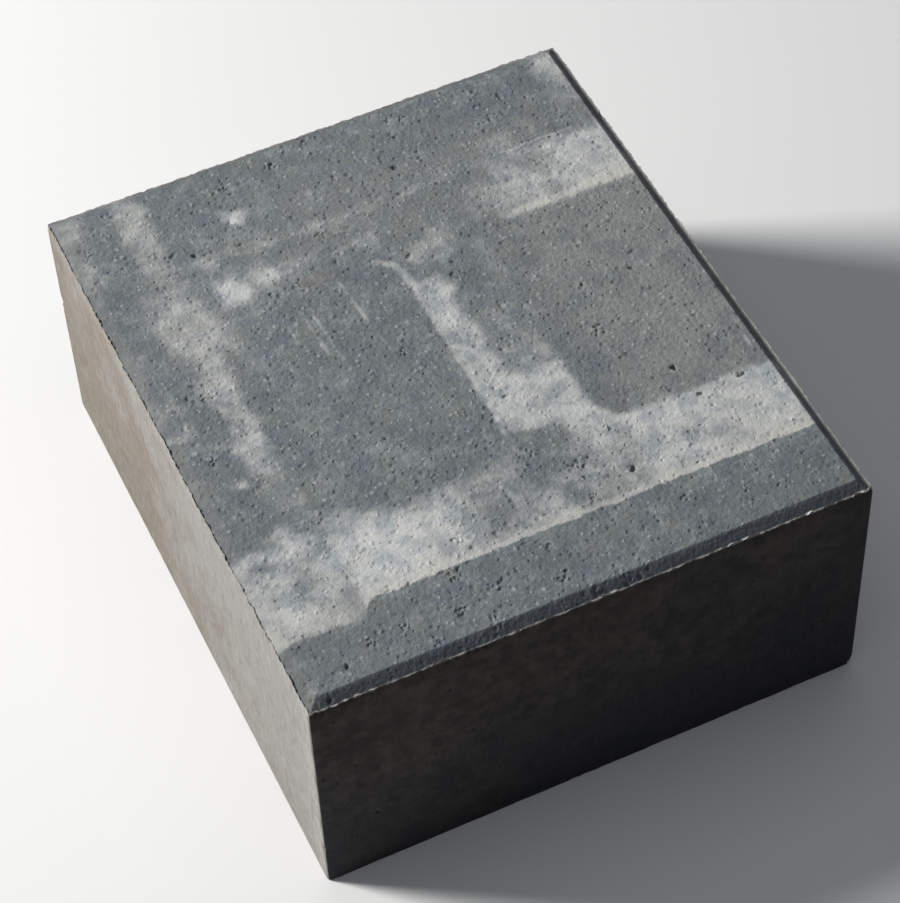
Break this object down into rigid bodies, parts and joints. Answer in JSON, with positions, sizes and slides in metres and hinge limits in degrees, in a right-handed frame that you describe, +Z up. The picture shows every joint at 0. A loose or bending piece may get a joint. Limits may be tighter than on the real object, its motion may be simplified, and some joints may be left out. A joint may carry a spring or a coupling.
{
  "type": "concrete step block",
  "caption": "Solid pressed concrete step block with a chamfered tread, for building garden and entrance steps.",
  "frame": {"origin": "centre of the bed face, the face the block lies on", "axes": "+Z up out of the tread; +Y from the riser, the face that shows in a flight of steps, to the back"},
  "size_m": [0.3, 0.35, 0.15],
  "materials": {
    "cast_concrete": "matte"
  },
  "bodies": {
    "root": {"step_block": "cast_concrete"}
  },
  "joints": []
}
